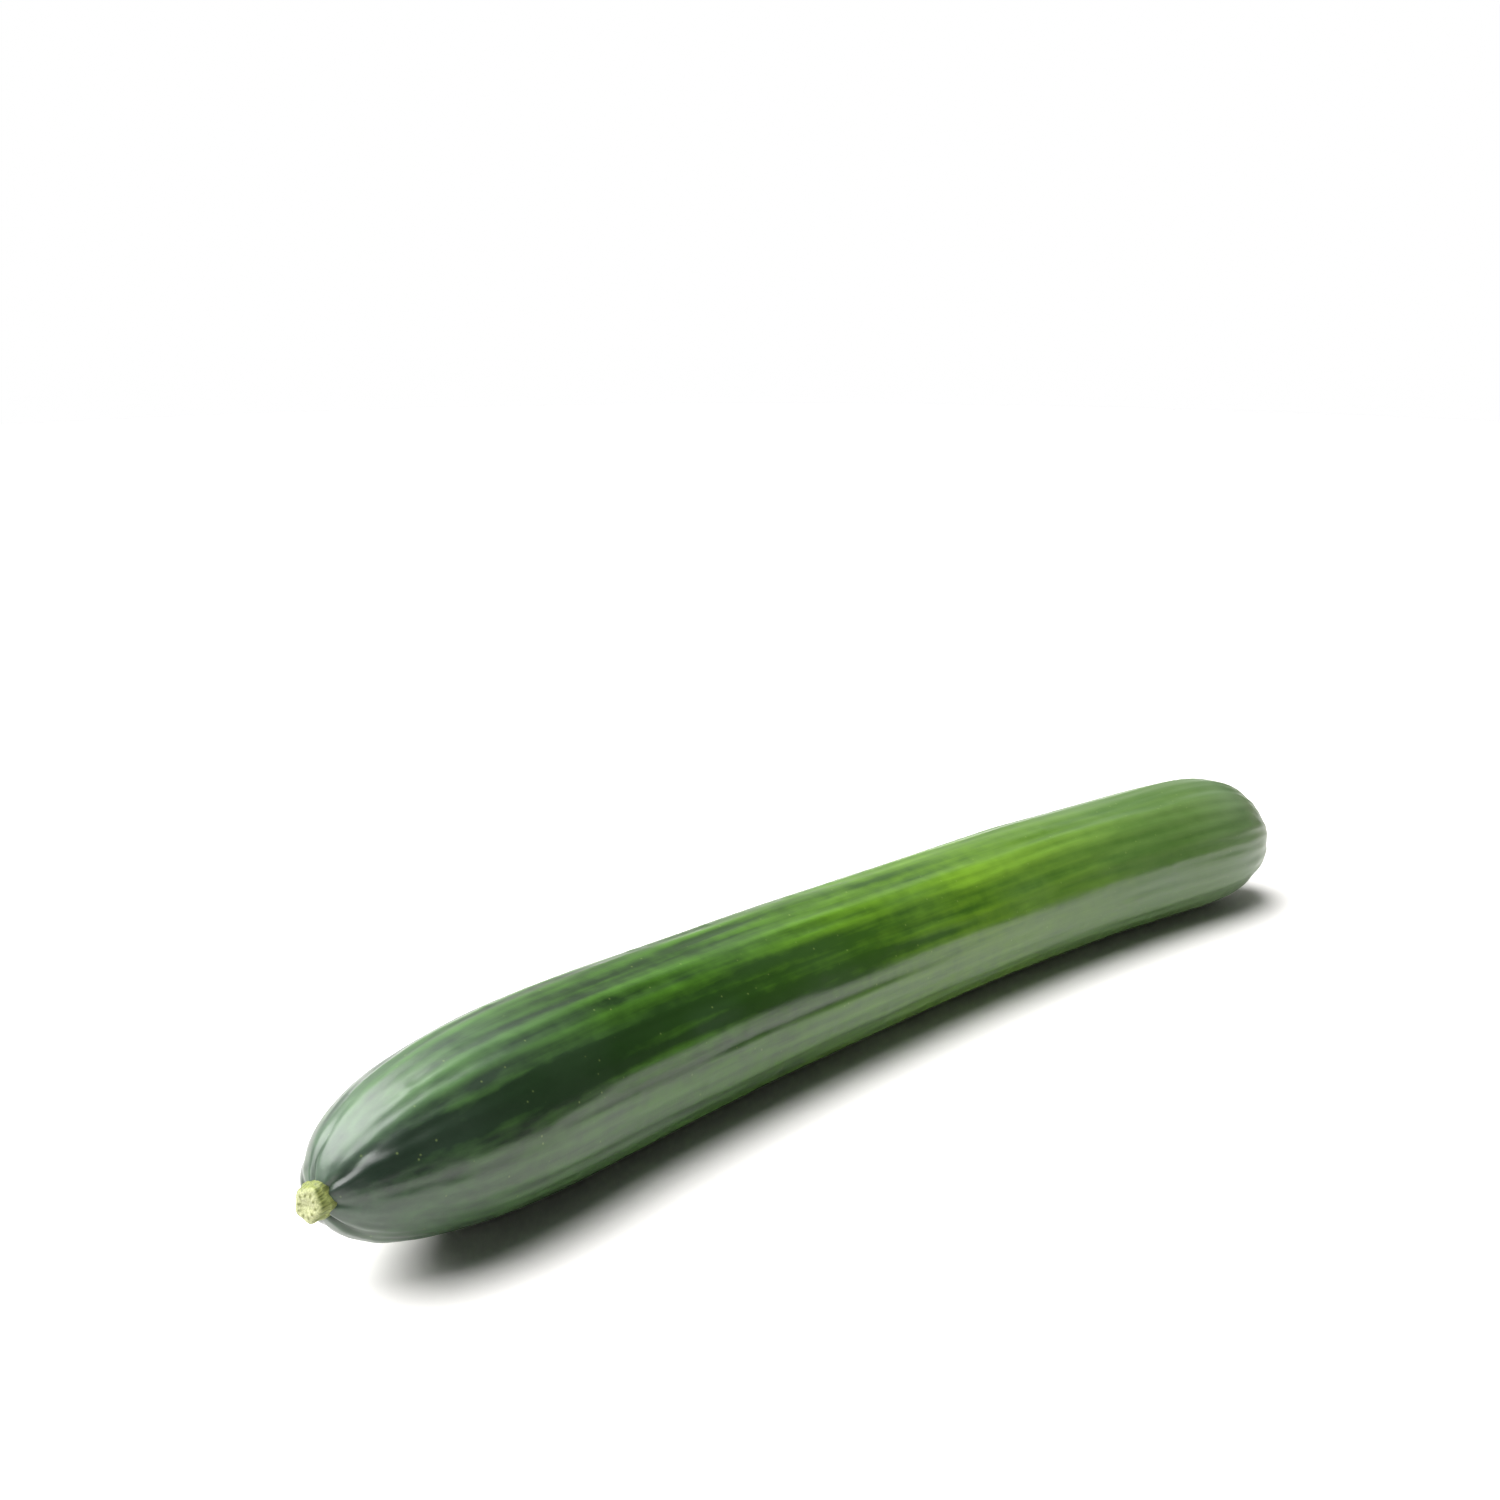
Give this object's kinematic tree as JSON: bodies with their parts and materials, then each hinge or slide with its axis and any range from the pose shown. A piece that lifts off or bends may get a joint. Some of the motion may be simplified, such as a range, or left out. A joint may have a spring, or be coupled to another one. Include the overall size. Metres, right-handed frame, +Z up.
{
  "type": "cucumber",
  "caption": "Long greenhouse cucumber with a slight sideways bow, shallow ribs and a short stub of cut stalk, lying on its side.",
  "frame": {"origin": "on the table, under the centre of the bounding box", "axes": "+Z up, +X along the fruit towards its blossom end, with the stalk at -X and the bow towards +Y"},
  "size_m": [0.34, 0.0512, 0.0431],
  "materials": {
    "skin": "satin",
    "stalk": "matte"
  },
  "bodies": {
    "root": {"fruit": "skin", "stem_stub": "stalk"}
  },
  "joints": []
}
